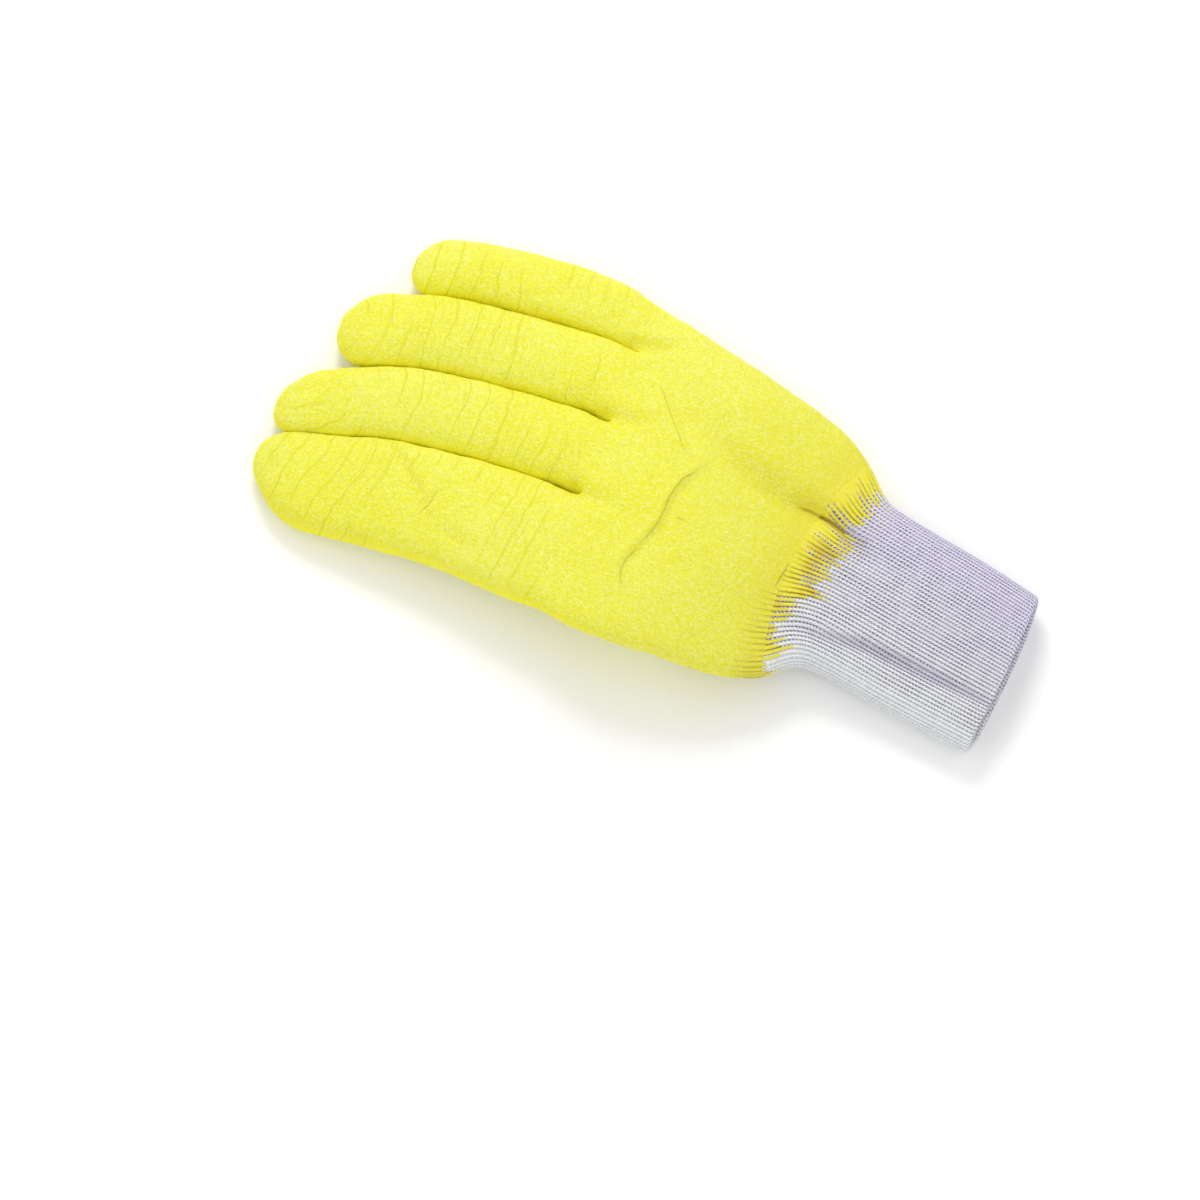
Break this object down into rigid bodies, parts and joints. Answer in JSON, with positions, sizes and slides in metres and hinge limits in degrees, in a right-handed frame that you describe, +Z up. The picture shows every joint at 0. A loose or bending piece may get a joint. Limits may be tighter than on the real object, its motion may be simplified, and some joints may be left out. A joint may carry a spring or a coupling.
{
  "type": "pvc coated glove",
  "caption": "Left-hand work glove with a yellow crinkle-finished rubbery coat and a white rib-knit cuff, lying palm up with its thumb tucked under.",
  "frame": {"origin": "on the surface that the glove lies on, under the middle of the glove's box", "axes": "+X from the fingertips to the cuff, +Y from the forefinger to the little finger, +Z up out of the palm"},
  "size_m": [0.2656, 0.1276, 0.0311],
  "materials": {
    "rubber_coat": "matt yellow rubbery coat with a crinkled finish",
    "soaked_rib": "darker yellow coat soaked into rib knit",
    "cotton_rib": "bare off-white cotton rib knit"
  },
  "bodies": {
    "root": {"coated_hand": "rubber_coat", "dipped_rib_band": "soaked_rib", "knit_cuff": "cotton_rib"}
  },
  "joints": []
}
